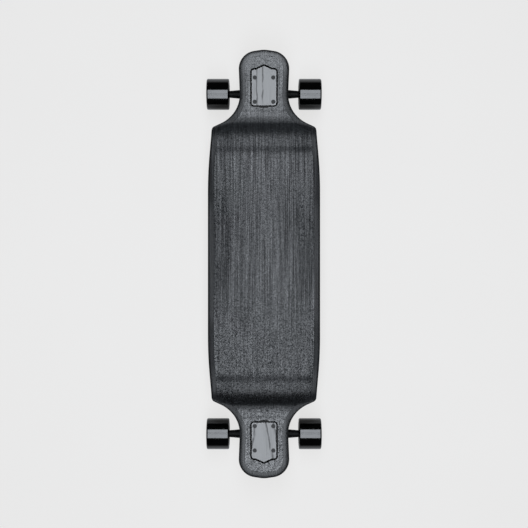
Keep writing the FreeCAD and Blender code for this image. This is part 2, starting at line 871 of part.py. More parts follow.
# Hanger: a tapered bar on the axle, a web up to the kingpin's ring, and the pivot.
bar_half = s.hanger_width / 2
bar_side = [
    (s.hanger_middle_diameter / 2, s.hanger_middle_length / 2),
    (s.hanger_end_diameter / 2, bar_half - s.hanger_face_length),
    (s.hanger_face_diameter / 2, bar_half - s.hanger_face_length),
    (s.hanger_face_diameter / 2, bar_half),
    (0, bar_half),
]
bar_line = [*[(radius, -along) for radius, along in reversed(bar_side)], *bar_side]
bar = turned("bar", bar_line, **along_axle)
ring_half = s.ring_thickness / 2
ring = turned("ring", sleeve(-ring_half, ring_half, 0, s.ring_diameter / 2), **along_king)
web_half, tail_half = s.web_width / 2, s.web_tail_width / 2
web_side = [(0, web_half), (s.web_lead, tail_half + s.web_flare, s.web_radius), (s.ring_reach, tail_half)]
web_line = [*web_side, *[(along, -across, *radius) for along, across, *radius in reversed(web_side)]]
web_sketch = sketched("web_line", web_line, x=foot_x, z=foot_z, pitch=-s.steer_angle)
web = extruded("web", web_sketch, s.web_thickness, both_ways=True)
pivot = s.pivot_diameter / 2
pivot_line = [
    (0, -s.pivot_reach),
    (pivot, -s.pivot_reach, s.pivot_tip_radius),
    (pivot, -s.pivot_neck),
    (s.pivot_root_diameter / 2, 0),
    (s.pivot_root_diameter / 2, s.pivot_root),
    (0, s.pivot_root),
]
nose = turned("nose", pivot_line, **along_steer)
seat = bushing + s.seat_clearance
ring_hole = s.ring_bore / 2
ring_cut_line = [
    (0, -ring_half - s.cut_overrun),
    (seat, -ring_half - s.cut_overrun),
    (seat, -bushing_face),
    (ring_hole, -bushing_face),
    (ring_hole, bushing_face),
    (seat, bushing_face),
    (seat, ring_half + s.cut_overrun),
    (0, ring_half + s.cut_overrun),
]
ring_cut = turned("ring_cut", ring_cut_line, **along_king)
axle_radius = s.axle_diameter / 2
axle_bore = turned("axle_bore", sleeve(-axle_half, axle_half, 0, axle_radius), **along_axle)
hanger = cut("hanger", fused("solid_hanger", bar, ring, web, nose), ring_cut, axle_bore)

# Axle and what is threaded on it; these lie along Z, outward.
axle_tip = axle_radius - s.axle_end_chamfer
axle_side = [(axle_radius, axle_half - s.axle_end_chamfer), (axle_tip, axle_half), (0, axle_half)]
axle_line = [*[(radius, -along) for radius, along in reversed(axle_side)], *axle_side]
axle = turned("axle", axle_line, **along_axle)
axle_nut = lock_nut("axle_nut", s.axle_nut_flats, s.axle_nut_height, s.axle_nut_collar, s.axle_diameter)
speed_ring = turned("speed_ring", sleeve(0, s.speed_ring_thickness, axle_radius, s.speed_ring_diameter / 2))
spacer_half = s.spacer_length / 2
spacer = turned("spacer", sleeve(-spacer_half, spacer_half, axle_radius, s.spacer_diameter / 2))

# Ball bearing about its own middle.
bearing_half = s.bearing_width / 2
ball_circle = s.ball_circle_diameter / 2
race = doc.addObject("Part::Torus", "race")
bind(race, "Radius1", ball_circle)
bind(race, "Radius2", s.ball_diameter / 2 + s.ball_clearance)
inner_section = sleeve(-bearing_half, bearing_half, axle_radius, s.inner_ring_diameter / 2)
inner_ring = cut("inner_ring", turned("inner_blank", inner_section), race)
outer_section = sleeve(-bearing_half, bearing_half, s.outer_ring_bore / 2, s.bearing_diameter / 2)
outer_ring = cut("outer_ring", turned("outer_blank", outer_section), race)
shield_half = s.shield_thickness / 2
shield_hole = s.inner_ring_diameter / 2 + s.shield_gap
shield = turned("shield", sleeve(-shield_half, shield_half, shield_hole, s.outer_ring_bore / 2))
shield_offset = bearing_half - s.shield_set - shield_half


def around(radius, count):
    """Even places round Z on a circle."""
    turns = [2 * math.pi * step / count.number for step in range(int(count.number))]
    return [(radius * math.cos(angle), radius * math.sin(angle)) for angle in turns]


def sphere(name, radius):
    result = doc.addObject("Part::Sphere", name)
    bind(result, "Radius", radius)
    return result


ball_places = [{"x": x, "y": y} for x, y in around(ball_circle, s.ball_count)]
balls = copies_of("balls", sphere("ball", s.ball_diameter / 2), ball_places)
ball_room = copies_of("ball_room", sphere("room", s.ball_diameter / 2 + s.ball_clearance), ball_places)
retainer_half = s.retainer_wall / 2
retainer_section = sleeve(
    -s.retainer_back, s.retainer_front, ball_circle - retainer_half, ball_circle + retainer_half
)
retainer = cut("retainer", turned("retainer_blank", retainer_section), ball_room)

# Wheel: a ribbed core with two bearing seats, and the tyre cast round it.
core_half = s.core_width / 2
core_radius = s.core_diameter / 2
seat_floor = spacer_half
core_side = [
    (s.core_shelf_diameter / 2, seat_floor),
    (s.bearing_diameter / 2, seat_floor),
    (s.bearing_diameter / 2, core_half),
    (core_radius, core_half),
]
core_line = [*core_side, *[(radius, -along) for radius, along in reversed(core_side)]]
core_blank = turned("core_blank", core_line)
pocket_circles = [(x, y, s.core_pocket_width) for x, y in around(s.core_pocket_radius, s.core_rib_count)]
pocket_sketch = sketched("core_pockets", circles=pocket_circles, z=core_half - s.core_pocket_depth)
outer_pockets = extruded("outer_pockets", pocket_sketch, s.core_pocket_depth + s.cut_overrun)
inner_pockets = mirrored("inner_pockets", outer_pockets, FreeCAD.Vector(0, 0, 1))
core = cut("core", core_blank, outer_pockets, inner_pockets)
tyre_out = s.wheel_width / 2 + s.wheel_offset
tyre_in = s.wheel_offset - s.wheel_width / 2
tyre_radius = s.wheel_diameter / 2
tyre_face = s.wheel_face_diameter / 2
tyre_line = [
    (core_radius, -core_half - s.tyre_dish),
    (tyre_face, tyre_in, s.wheel_lip_radius),
    (tyre_radius, tyre_in, s.wheel_lip_radius),
    (tyre_radius, tyre_out, s.wheel_lip_radius),
    (tyre_face, tyre_out, s.wheel_lip_radius),
    (core_radius, core_half + s.tyre_dish),
]
tyre = turned("tyre", tyre_line)

# Both trucks and all four wheels, in place.


def truck_spot(end, x=0, y=0, z=0, roll=0):
    """A place in a truck; the rear truck is the front one turned half round."""
    yaw = 0 if end > 0 else 180
    return {"x": end * (truck_x + x), "y": end * lifted(y), "z": axle_height + z, "yaw": yaw, "roll": roll}


def axle_spot(end, side, y):
    """A place on an axle, the piece's Z pointing outward."""
    return {"x": end * truck_x, "y": side * y, "z": axle_height, "roll": -90 * side}


def wheel_spots(end, side, outs):
    """Places in one wheel, measured outward from its middle."""
    return [axle_spot(end, side, wheel_y + out) for out in outs]


in_truck = (
    ("cover_plate", cover),
    ("baseplate", baseplate),
    ("pivot_cup", cup),
    ("kingpin", kingpin),
    ("kingpin_nut", king_nut),
    ("board_bushing", board_bushing),
    ("road_bushing", road_bushing),
    ("bushing_washers", washers),
    ("hanger", hanger),
    ("axle", axle),
)
bearing_places = (bearing_offset, -bearing_offset)
shield_places = [place_out + step * shield_offset for place_out in bearing_places for step in (1, -1)]
in_wheel = (
    ("tyre", tyre, (lifted(0),)),
    ("core", core, (lifted(0),)),
    ("bearing_outer_rings", outer_ring, bearing_places),
    ("bearing_shields", shield, shield_places),
    ("bearing_balls", balls, bearing_places),
    ("ball_retainers", retainer, bearing_places),
)
for name, end in (("front", 1), ("rear", -1)):
    for label, piece in in_truck:
        node(f"{name}_{label}", piece, truck_spot(end))
    node(f"{name}_mounting_bolts", bolt, *[truck_spot(end, x, y, cover_top) for x, y in bolt_spots()])
    nut_spots = [truck_spot(end, x, y, deck_under, roll=180) for x, y in bolt_spots()]
    node(f"{name}_mounting_nuts", mount_nut, *nut_spots)
    node(f"{name}_axle_nuts", axle_nut, *[axle_spot(end, side, axle_nut_y) for side in (1, -1)])
    ring_places = [(side, out) for side in (1, -1) for out in (s.hanger_width / 2, outer_ring_y)]
    node(f"{name}_speed_rings", speed_ring, *[axle_spot(end, side, out) for side, out in ring_places])
    inner_places = [spot for side in (1, -1) for spot in wheel_spots(end, side, bearing_places)]
    node(f"{name}_bearing_inner_rings", inner_ring, *inner_places)
    node(f"{name}_bearing_spacers", spacer, *[axle_spot(end, side, wheel_y) for side in (1, -1)])
    for hand, side in (("left", 1), ("right", -1)):
        for label, piece, outs in in_wheel:
            node(f"{name}_{hand}_{label}", piece, *wheel_spots(end, side, outs))

doc.recompute()
failed = [thing.Name for thing in doc.Objects if "Invalid" in thing.State or "Error" in thing.State]
failed += [group.Label for group in nodes if group.Shape.isNull() or not group.Shape.isValid()]
if failed:
    raise RuntimeError(f"these did not build: {failed}")
os.makedirs("parts", exist_ok=True)
for group in nodes:
    group.Shape.exportStep(f"parts/{group.Label}.step")
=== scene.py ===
import json
import math

import bmesh
import bpy
import numpy as np
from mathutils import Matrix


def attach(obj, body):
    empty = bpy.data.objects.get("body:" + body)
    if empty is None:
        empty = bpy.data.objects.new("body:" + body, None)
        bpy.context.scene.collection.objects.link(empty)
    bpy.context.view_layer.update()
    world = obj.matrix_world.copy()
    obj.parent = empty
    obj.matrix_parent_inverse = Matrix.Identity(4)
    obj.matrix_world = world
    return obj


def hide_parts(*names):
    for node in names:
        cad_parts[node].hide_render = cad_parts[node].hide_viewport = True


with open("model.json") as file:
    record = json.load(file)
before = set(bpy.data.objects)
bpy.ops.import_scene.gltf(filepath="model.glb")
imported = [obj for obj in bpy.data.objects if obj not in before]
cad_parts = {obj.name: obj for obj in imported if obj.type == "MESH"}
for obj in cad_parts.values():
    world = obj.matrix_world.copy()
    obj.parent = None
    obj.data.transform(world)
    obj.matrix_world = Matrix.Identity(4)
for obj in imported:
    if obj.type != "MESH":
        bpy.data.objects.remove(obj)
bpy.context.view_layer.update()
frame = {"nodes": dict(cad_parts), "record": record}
MM = 0.001

# Sizes of the board, in millimetres, as the solids have them.
TRUCK_X = 386.9
NECK_TOP = 96.5
NECK_LINE = 338.0
PLATFORM_TOP = NECK_TOP - 26.0
BOARD_THICKNESS = 12.5
PLY_THICKNESS = BOARD_THICKNESS / 8
RECESS_DEPTH = 6.5
RECESS_GAP = 3.4
BEVEL_WIDTH = 11.5
TOP_INSET = BEVEL_WIDTH + 1.0
GRIP_INSET = 13.0
GRIP_TOP_INSET = GRIP_INSET + 0.5
GRIP_LIFT = 1.0
GRIP_FOOT = 0.02

# The board's middle line: where its two bends begin and end, their radii, and the slope's two heights.
LOW_BEND_START, LOW_BEND_END, HIGH_BEND_START, HIGH_BEND_END = 242.21, 301.94, 310.25, 330.16
LOW_BEND_RADIUS, HIGH_BEND_RADIUS = 120.0, 40.0
SLOPE_FOOT, SLOPE_HEAD = 86.42, 91.19

# The board's cross line: a flat middle, a bend, then rails that rise evenly from a foot.
RAIL_BEND_START, RAIL_BEND_END, RAIL_BEND_RADIUS = 53.085, 74.874, 250.0
RAIL_FOOT, RAIL_ANGLE = 64.0, math.radians(5)

# Outline corners of one quarter of the board: x, y, radius.
NOSE = (468.45, 57.55, 40.0)
WAIST = (331.95, 52.0, 70.0)
SHOULDER = (303.97, 116.35, 11.0)
RAIL = (212.67, 125.85, 1000.0)
TIP = (476.80, 0.0, 60.0)

# Cover plate and window of a truck about the bolt pattern: x, y, radius.
PLATE_HALF = [(53.1, 0.0, 6.0), (44.6, 18.0, 4.0), (44.6, 27.25, 5.0), (-34.8, 27.25, 5.0)]
WINDOW_HALF = [(19.0, 19.0, 5.0), (-17.0, 19.0, 5.0), (-22.0, 11.75, 0.6), (-40.6, 11.75, 5.0)]

# Edge profile of the board: distance in from the outline, and depth below the top.
EDGE_PROFILE = np.array([
    (TOP_INSET, 0.0), (BEVEL_WIDTH, 0.0), (9.5, 0.04), (7.5, 0.13), (5.5, 0.26), (3.5, 0.46),
    (2.2, 0.68), (1.2, 1.05), (0.5, 1.7), (0.1, 2.7), (0.0, 3.8), (0.0, 6.5), (0.0, 8.5), (0.0, 10.4),
    (0.3, 11.4), (0.9, 12.1), (1.8, 12.43), (2.6, BOARD_THICKNESS), (TOP_INSET, BOARD_THICKNESS)])

# Edge profile of the grip sheet: distance in from the outline, and lift above the board.
GRIP_PROFILE = np.array([
    (GRIP_TOP_INSET, GRIP_LIFT), (GRIP_INSET + 0.15, GRIP_LIFT - 0.12), (GRIP_INSET, GRIP_LIFT - 0.45),
    (GRIP_INSET, GRIP_FOOT)])

# Tyre profile: radius, and place along the axle from the bearings' middle, out over the tread and back.
WHEEL_Y, WHEEL_RADIUS = 103.0, 35.0
TYRE_PROFILE = np.array([
    (19.0, -15.8), (19.4, -16.2), (25.9, -22.1), (27.2, -23.2), (28.6, -23.8), (30.2, -24.0),
    (32.0, -24.0), (33.1, -23.8), (34.1, -23.1), (34.8, -22.1), (WHEEL_RADIUS, -21.0), (WHEEL_RADIUS, -20.6),
    (WHEEL_RADIUS, 23.6), (WHEEL_RADIUS, 24.0), (34.8, 25.1), (34.1, 26.1), (33.1, 26.8), (32.0, 27.0),
    (30.2, 27.0), (28.6, 26.8), (27.2, 26.2), (25.9, 25.1), (19.4, 16.2), (19.0, 15.8)])

# How finely the surfaces are divided.
ARC_STEPS, RUN_STEPS, CLOSING_STEPS = 14, 26, 40
PLATFORM_ROWS, BEND_ROWS, PLATFORM_COLUMNS = 161, 60, 61
BEND_ROWS_FROM = 238.0
NECK_SHARES = np.array([0.0, 0.15, 0.5, 0.85, 1.0])[:, None]
WALL_SHARES = np.array([0.0, 0.5, 1.0])[:, None]
TYRE_STEPS, SETTLING_STEPS = 160, 5
LEAST_RADIUS = 0.4
SIDE_REACH = NECK_LINE + 25.0

# Edges up to these angles are shaded smooth, in degrees; points this close are joined, in metres.
BOARD_SMOOTHING, TYRE_SMOOTHING, COPY_SMOOTHING = 40, 30, 32
SURFACE_WELD, COPY_WELD = 2e-6, 1e-6


def both_sides(half):
    """A closed outline from its left half: the half, then its mirror image in reverse order."""
    right = [(x, -y, radius) for x, y, radius in reversed(half) if y > 0]
    return half + right


LEFT_FRONT = [NOSE, WAIST, SHOULDER, RAIL]
LEFT_REAR = [(-x, y, radius) for x, y, radius in reversed(LEFT_FRONT)]
BOARD_OUTLINE = both_sides([TIP, *LEFT_FRONT, *LEFT_REAR, (-TIP[0], 0.0, TIP[2])])
PLATE_OUTLINE = both_sides(PLATE_HALF)
WINDOW_OUTLINE = both_sides(WINDOW_HALF)


def inset_loop(corners, inset):
    """A rounded polygon moved inward by a distance, anticlockwise.

    Each side is moved along its inward normal and met again with its neighbours; a convex corner's
    radius shrinks by the distance and a hollow one's grows. Every corner gives an arc and every side a
    run of the same number of points, so loops at different insets match point for point.
    """
    table = np.array(corners, float)
    flat, radius = table[:, :2], table[:, 2]
    side = np.roll(flat, -1, axis=0) - flat
    side /= np.linalg.norm(side, axis=1)[:, None]
    inward = np.stack([-side[:, 1], side[:, 0]], axis=1)
    before, normal_before = np.roll(side, 1, axis=0), np.roll(inward, 1, axis=0)
    turn = before[:, 0] * side[:, 1] - before[:, 1] * side[:, 0]
    facing = np.sum(before * side, axis=1)
    half = np.arctan2(np.abs(turn), facing) / 2
    shift = (normal_before + inward) / (1 + np.sum(normal_before * inward, axis=1))[:, None]
    corner = flat + shift * inset
    sign = np.sign(turn)
    bend = np.maximum(radius - sign * inset, LEAST_RADIUS)
    run = bend * np.tan(half)
    start_point = corner - before * run[:, None]
    centre = start_point + normal_before * (sign * bend)[:, None]
    sweep = np.linspace(0, 1, ARC_STEPS)[None, :] * (2 * half * sign)[:, None]
    spoke = start_point - centre
    cos, sin = np.cos(sweep)[..., None], np.sin(sweep)[..., None]
    across = np.stack([-spoke[:, 1], spoke[:, 0]], axis=1)
    arcs = centre[:, None] + spoke[:, None] * cos + across[:, None] * sin
    share = np.linspace(0, 1, RUN_STEPS + 2)[1:-1][None, :, None]
    runs = arcs[:, -1:] * (1 - share) + np.roll(arcs, -1, axis=0)[:, :1] * share
    return np.concatenate([arcs, runs], axis=1).reshape(-1, 2)


def arc_fall(run, radius):
    """How far a circle falls away from its tangent over a run: radius less the other leg of the triangle."""
    return radius - np.sqrt(np.maximum(radius**2 - run**2, 0))


def arc_slope(run, radius):
    """Slope of a circle at a run from its level point: the run over the other leg of the triangle."""
    return run / np.sqrt(np.maximum(radius**2 - run**2, 1))


def board_line(x):
    """Height and slope of the board's middle line.

    From the middle out it is a level platform, a low bend, an even slope, a high bend and a level neck.
    """
    far = np.abs(x)
    zones = [far < LOW_BEND_START, far < LOW_BEND_END, far < HIGH_BEND_START, far < HIGH_BEND_END]
    into_low, out_of_high = far - LOW_BEND_START, HIGH_BEND_END - far
    slope = (SLOPE_HEAD - SLOPE_FOOT) / (HIGH_BEND_START - LOW_BEND_END)
    heights = [
        PLATFORM_TOP + 0 * far, PLATFORM_TOP + arc_fall(into_low, LOW_BEND_RADIUS),
        SLOPE_FOOT + (far - LOW_BEND_END) * slope, NECK_TOP - arc_fall(out_of_high, HIGH_BEND_RADIUS)]
    slopes = [
        0 * far, arc_slope(into_low, LOW_BEND_RADIUS), slope + 0 * far,
        arc_slope(out_of_high, HIGH_BEND_RADIUS)]
    return np.select(zones, heights, NECK_TOP), np.select(zones, slopes, 0.0) * np.sign(x)


def rail_rise(y):
    """Rise of the board across its width: flat middle, a bend, then rails rising evenly."""
    far = np.abs(y)
    bend = arc_fall(far - RAIL_BEND_START, RAIL_BEND_RADIUS)
    rail = (far - RAIL_FOOT) * math.tan(RAIL_ANGLE)
    return np.select([far < RAIL_BEND_START, far < RAIL_BEND_END], [0 * far, bend], rail)


def board_height(x, y, lift):
    """Height of the bent sheet over x, y at a lift along its own normal.

    The sheet's point is the middle line's point plus (rise + lift) along the line's normal, so the
    place on the line is found by stepping back along x a few times.
    """
    out = rail_rise(y) + lift
    along = x.copy()
    for _ in range(SETTLING_STEPS):
        steep = board_line(along)[1]
        along = x + out * steep / np.sqrt(1 + steep**2)
    height, steep = board_line(along)
    return height + out / np.sqrt(1 + steep**2)


class Surface:
    """Grids of points that make one mesh, with a depth below the board's top kept for every point."""

    def __init__(self):
        self.points, self.faces, self.depths, self.count = [], [], [], 0

    def grid(self, x, y, z, depth, closed=False, flip=False):
        """Adds a grid of rows and columns; closed joins the last column to the first."""
        rows, columns = x.shape
        index = np.arange(rows * columns).reshape(rows, columns) + self.count
        ahead = np.roll(index, -1, axis=1)
        if not closed:
            index, ahead = index[:, :-1], ahead[:, :-1]
        quads = np.stack([index[:-1], ahead[:-1], ahead[1:], index[1:]], axis=-1).reshape(-1, 4)
        self.faces.append(quads[:, ::-1] if flip else quads)
        self.points.append(np.stack([x, y, z], axis=-1).reshape(-1, 3))
        self.depths.append(np.broadcast_to(depth, x.shape).reshape(-1))
        self.count += rows * columns

    def piece(self, name, smoothing):
        """The mesh object of all the grids, joined where they meet."""
        mesh = bpy.data.meshes.new(name)
        points = np.concatenate(self.points) * MM
        faces = np.concatenate(self.faces)
        mesh.from_pydata(points.tolist(), [], faces.tolist())
        layer = mesh.attributes.new("depth", "FLOAT", "POINT")
        layer.data.foreach_set("value", np.concatenate(self.depths).astype(np.float32))
        return finished(name, mesh, SURFACE_WELD, smoothing)


def finished(name, mesh, weld, smoothing):
    """Merges doubles, drops empty faces and shades smooth but for edges sharper than an angle."""
    shape = bmesh.new()
    shape.from_mesh(mesh)
    bmesh.ops.remove_doubles(shape, verts=shape.verts, dist=weld)
    bmesh.ops.dissolve_degenerate(shape, edges=shape.edges, dist=weld / 4)
    shape.to_mesh(mesh)
    shape.free()
    mesh.shade_smooth()
    mesh.set_sharp_from_angle(angle=math.radians(smoothing))
    piece = bpy.data.objects.new(name, mesh)
    bpy.context.scene.collection.objects.link(piece)
    return piece


def polar(loop, angles):
    """Radius of a loop round the origin at given angles, straight between its points."""
    theta = np.arctan2(loop[:, 1], loop[:, 0])
    order = np.argsort(theta)
    return np.interp(angles, theta[order], np.hypot(loop[order, 0], loop[order, 1]), period=2 * math.pi)


def half_width(inset, centred=0.0):
    """The inset outline's left side as rising x, from a centre, and its y."""
    loop = inset_loop(BOARD_OUTLINE, inset)
    left = loop[(loop[:, 1] > 0) & (np.abs(loop[:, 0]) < SIDE_REACH)]
    left = left[np.argsort(left[:, 0])]
    return left[:, 0] - centred, left[:, 1]


def neck_rings(inset):
    """Angles and radii about a truck's middle: the neck's edge, the recess's rim and the window.

    The neck's edge is the board's inset outline past the neck line, closed straight across there. The
    rim is the plate's outline moved out by a gap, or the window where that reaches further.
    """
    loop = inset_loop(BOARD_OUTLINE, inset)
    loop = loop[loop[:, 0] > NECK_LINE] - (TRUCK_X, 0)
    loop = loop[np.argsort(np.arctan2(loop[:, 1], loop[:, 0]))]
    span = np.interp(NECK_LINE - TRUCK_X, *half_width(inset, centred=TRUCK_X))
    line = np.linspace(span, -span, CLOSING_STEPS)
    closing = np.stack([np.full(CLOSING_STEPS, NECK_LINE - TRUCK_X), line], axis=1)
    edge = np.concatenate([loop, closing])
    recess = inset_loop(PLATE_OUTLINE, -RECESS_GAP)
    window = inset_loop(WINDOW_OUTLINE, 0)
    corners = np.concatenate([edge, recess, window])
    angles = np.unique(np.round(np.arctan2(corners[:, 1], corners[:, 0]), 5))
    window_radius = polar(window, angles)
    return angles, polar(edge, angles), np.maximum(polar(recess, angles), window_radius), window_radius


def around_truck(end, radius, angles):
    """Board coordinates of points at a radius and an angle about one end's truck."""
    return end * (TRUCK_X + radius * np.cos(angles)), end * radius * np.sin(angles)


def platform(surface, inset, lift, depth, flip=False):
    """The dropped middle between the neck lines: even shares of the width, with closer rows on the bends."""
    bend_rows = np.linspace(BEND_ROWS_FROM, NECK_LINE, BEND_ROWS)
    rows = np.linspace(-NECK_LINE, NECK_LINE, PLATFORM_ROWS)
    x = np.unique(np.concatenate([rows, bend_rows, -bend_rows]))
    xs, shares = np.meshgrid(x, np.linspace(-1, 1, PLATFORM_COLUMNS), indexing="ij")
    ys = np.interp(x, *half_width(inset))[:, None] * shares
    surface.grid(xs, ys, board_height(xs, ys, lift), depth, flip=not flip)


def neck(surface, end, inset, lift, depth, opening, flip=False):
    """The flat neck as a ring from its edge in to an opening about the truck."""
    angles, edge, rim, window = neck_rings(inset)
    hole = rim if opening == "recess" else window
    x, y = around_truck(end, edge * (1 - NECK_SHARES) + hole * NECK_SHARES, angles)
    surface.grid(x, y, board_height(x, y, lift), depth, closed=True, flip=flip)


def wall(surface, end, radius, angles, top, bottom):
    """An upright wall round a truck's opening, facing the opening, from a top down to a bottom."""
    shape = (len(WALL_SHARES), len(angles))
    z = np.broadcast_to(top * (1 - WALL_SHARES) + bottom * WALL_SHARES, shape)
    x, y = (np.broadcast_to(line, shape) for line in around_truck(end, radius, angles))
    surface.grid(x, y, z, NECK_TOP - z, closed=True)


def board_piece():
    """The deck: bevelled rim carried round the outline, top, underside, and the truck openings."""
    surface = Surface()
    loops = np.stack([inset_loop(BOARD_OUTLINE, inset) for inset in EDGE_PROFILE[:, 0]])
    depth = np.broadcast_to(EDGE_PROFILE[:, 1:], loops.shape[:2])
    x, y = loops[..., 0], loops[..., 1]
    surface.grid(x, y, board_height(x, y, -depth), depth, closed=True, flip=True)
    platform(surface, TOP_INSET, 0.0, 0.0)
    platform(surface, TOP_INSET, -BOARD_THICKNESS, BOARD_THICKNESS, flip=True)
    floor, under = NECK_TOP - RECESS_DEPTH, NECK_TOP - BOARD_THICKNESS
    for end in (1, -1):
        neck(surface, end, TOP_INSET, 0.0, 0.0, "recess")
        neck(surface, end, TOP_INSET, -BOARD_THICKNESS, BOARD_THICKNESS, "window", flip=True)
        angles, _, rim, window = neck_rings(TOP_INSET)
        wall(surface, end, rim, angles, NECK_TOP, floor)
        x, y = around_truck(end, rim * (1 - WALL_SHARES) + window * WALL_SHARES, angles)
        surface.grid(x, y, np.full(x.shape, floor), RECESS_DEPTH, closed=True)
        wall(surface, end, window, angles, floor, under)
    return surface.piece("board", BOARD_SMOOTHING)


def grip_piece():
    """The clear grit sheet: the top lifted by its thickness, with a fine rounded edge down to the board."""
    surface = Surface()
    loops = np.stack([inset_loop(BOARD_OUTLINE, inset) for inset in GRIP_PROFILE[:, 0]])
    x, y = loops[..., 0], loops[..., 1]
    surface.grid(x, y, board_height(x, y, GRIP_PROFILE[:, 1:]), 0.0, closed=True, flip=True)
    platform(surface, GRIP_TOP_INSET, GRIP_LIFT, 0.0)
    for end in (1, -1):
        neck(surface, end, GRIP_TOP_INSET, GRIP_LIFT, 0.0, "recess")
        angles, _, rim, _ = neck_rings(GRIP_TOP_INSET)
        wall(surface, end, rim, angles, NECK_TOP + GRIP_LIFT, NECK_TOP + GRIP_FOOT)
    return surface.piece("grip", BOARD_SMOOTHING)


def tyre_piece(name, end, side):
    """A tyre: its profile turned about the axle in even steps."""
    surface = Surface()
    angle = np.linspace(0, 2 * math.pi, TYRE_STEPS + 1)[:-1]
    radius, along = TYRE_PROFILE[:, :1], TYRE_PROFILE[:, 1:]
    x = end * TRUCK_X + radius * np.cos(angle)
    y = np.broadcast_to(side * (WHEEL_Y + along), x.shape)
    z = WHEEL_RADIUS + radius * np.sin(angle)
    surface.grid(x, y, z, 0.0, closed=True, flip=side < 0)
    return surface.piece(name, TYRE_SMOOTHING)


def smooth_copy(node):
    """A node's own shape with its loose triangles joined and its round faces shaded smooth."""
    mesh = frame["nodes"][node].data.copy()
    mesh.materials.clear()
    if "custom_normal" in mesh.attributes:
        mesh.attributes.remove(mesh.attributes["custom_normal"])
    return finished(f"{node}_dressed", mesh, COPY_WELD, COPY_SMOOTHING)


# Materials


class Nodes:
    """Short words for adding and linking nodes in one tree."""

    def __init__(self, tree):
        self.tree = tree

    def add(self, kind, settings=None, **sockets):
        """A new node with its settings made and its named sockets filled."""
        node = self.tree.nodes.new(kind)
        for key, value in (settings or {}).items():
            setattr(node, key, value)
        for label, value in sockets.items():
            self.put(node.inputs[label.replace("_", " ")], value)
        return node

    def put(self, socket, value):
        """Links a socket to another node's output, or sets its plain value."""
        if isinstance(value, bpy.types.NodeSocket):
            self.tree.links.new(value, socket)
        else:
            socket.default_value = value

    def math(self, operation, *values):
        """One step of arithmetic on up to three values."""
        node = self.add("ShaderNodeMath", {"operation": operation})
        for socket, value in zip(node.inputs, values):
            self.put(socket, value)
        return node.outputs[0]

    def times(self, *factors):
        """The product of several values."""
        product = factors[0]
        for factor in factors[1:]:
            product = self.math("MULTIPLY", product, factor)
        return product

    def ramp(self, value, low, high, start=0.0, end=1.0):
        """A straight change from start to end as the value goes from low to high, level outside them."""
        return self.add(
            "ShaderNodeMapRange", {"clamp": True},
            Value=value, From_Min=low, From_Max=high, To_Min=start, To_Max=end).outputs[0]

    def between(self, mask, start, end):
        """A value from start, where a mask is none, to end, where it is full."""
        return self.ramp(mask, 0.0, 1.0, start, end)

    def near(self, value, middle, inner, outer, start=1.0, end=0.0):
        """A ramp on a value's distance from a middle."""
        away = self.math("ABSOLUTE", self.math("SUBTRACT", value, middle))
        return self.ramp(away, inner, outer, start, end)

    def mix(self, factor, first, second):
        """A colour between two."""
        node = self.add("ShaderNodeMix", {"data_type": "RGBA"})
        for place, value in ((0, factor), (6, first), (7, second)):
            self.put(node.inputs[place], value)
        return node.outputs[2]

    def noise(self, where, scale, detail=3.0, rough=0.55):
        """Cloudy noise, counted per metre."""
        node = self.add("ShaderNodeTexNoise", Vector=where, Scale=scale, Detail=detail, Roughness=rough)
        return node.outputs["Fac"]

    def stretched(self, where, scale, shift=(0.0, 0.0, 0.0)):
        """Coordinates scaled along each axis, then shifted."""
        return self.add("ShaderNodeMapping", Vector=where, Scale=scale, Location=shift).outputs[0]

    def axes(self, where):
        """The three numbers of a place."""
        return self.add("ShaderNodeSeparateXYZ", Vector=where).outputs


VECTOR, FLOAT = "NodeSocketVector", "NodeSocketFloat"


def new_group(name, scales, outputs):
    """A shader node group that takes a place and named scales and puts out named values."""
    group = bpy.data.node_groups.new(name, "ShaderNodeTree")
    group.interface.new_socket("Place", in_out="INPUT", socket_type=VECTOR)
    for label, value in scales.items():
        group.interface.new_socket(label, in_out="INPUT", socket_type=FLOAT).default_value = value
    for label in outputs:
        group.interface.new_socket(label, in_out="OUTPUT", socket_type=FLOAT)
    source, sink = group.nodes.new("NodeGroupInput"), group.nodes.new("NodeGroupOutput")
    return group, Nodes(group), source.outputs, sink.inputs


def wood_grain_group():
    """Fine pores drawn out along X, and broad growth bands in tall arches.

    The bands are whole counts of the distance from the middle, with X shrunk to about a twelfth, bent by
    noise. Height hardly counts, so the grain runs straight over the bends.
    """
    group, n, given, put_out = new_group(
        "wood grain", {"Pore Scale": 900.0, "Band Scale": 55.0}, ["Pores", "Bands"])
    level = (0.0, 0.0, 0.0644)
    fine = n.stretched(given["Place"], (0.015, 1, 0.1), level)
    broad = n.stretched(given["Place"], (0.045, 1, 0.1), level)
    waves = n.noise(broad, given["Band Scale"], 3.0, 0.5)
    axes = n.axes(given["Place"])
    tall = n.math("POWER", n.math("MULTIPLY", axes[0], 0.08), 2.0)
    arch = n.math("SQRT", n.math("ADD", tall, n.math("POWER", axes[1], 2.0)))
    rings = n.math("FRACT", n.math("MULTIPLY_ADD", arch, 75.0, n.math("MULTIPLY", waves, 5.0)))
    n.put(put_out["Pores"], n.noise(fine, given["Pore Scale"], 4.0, 0.6))
    n.put(put_out["Bands"], n.math("ABSOLUTE", n.math("SUBTRACT", rings, 0.5)))
    return group


def grit_group():
    """Grains of clear grit: a cell pattern whose cells are each raised and lit by chance."""
    group, n, given, put_out = new_group("grit", {"Grain Scale": 1100.0}, ["Relief", "Sparkle", "Chance"])
    cells = n.add("ShaderNodeTexVoronoi", Vector=given["Place"], Scale=given["Grain Scale"])
    chance = n.add("ShaderNodeSeparateColor", Color=cells.outputs["Color"]).outputs
    dome = n.ramp(cells.outputs["Distance"], 0.0, 0.6, 1.0, 0.0)
    n.put(put_out["Relief"], n.times(dome, chance[1]))
    n.put(put_out["Sparkle"], n.ramp(chance[0], 0.90, 1.0))
    n.put(put_out["Chance"], chance[2])
    return group


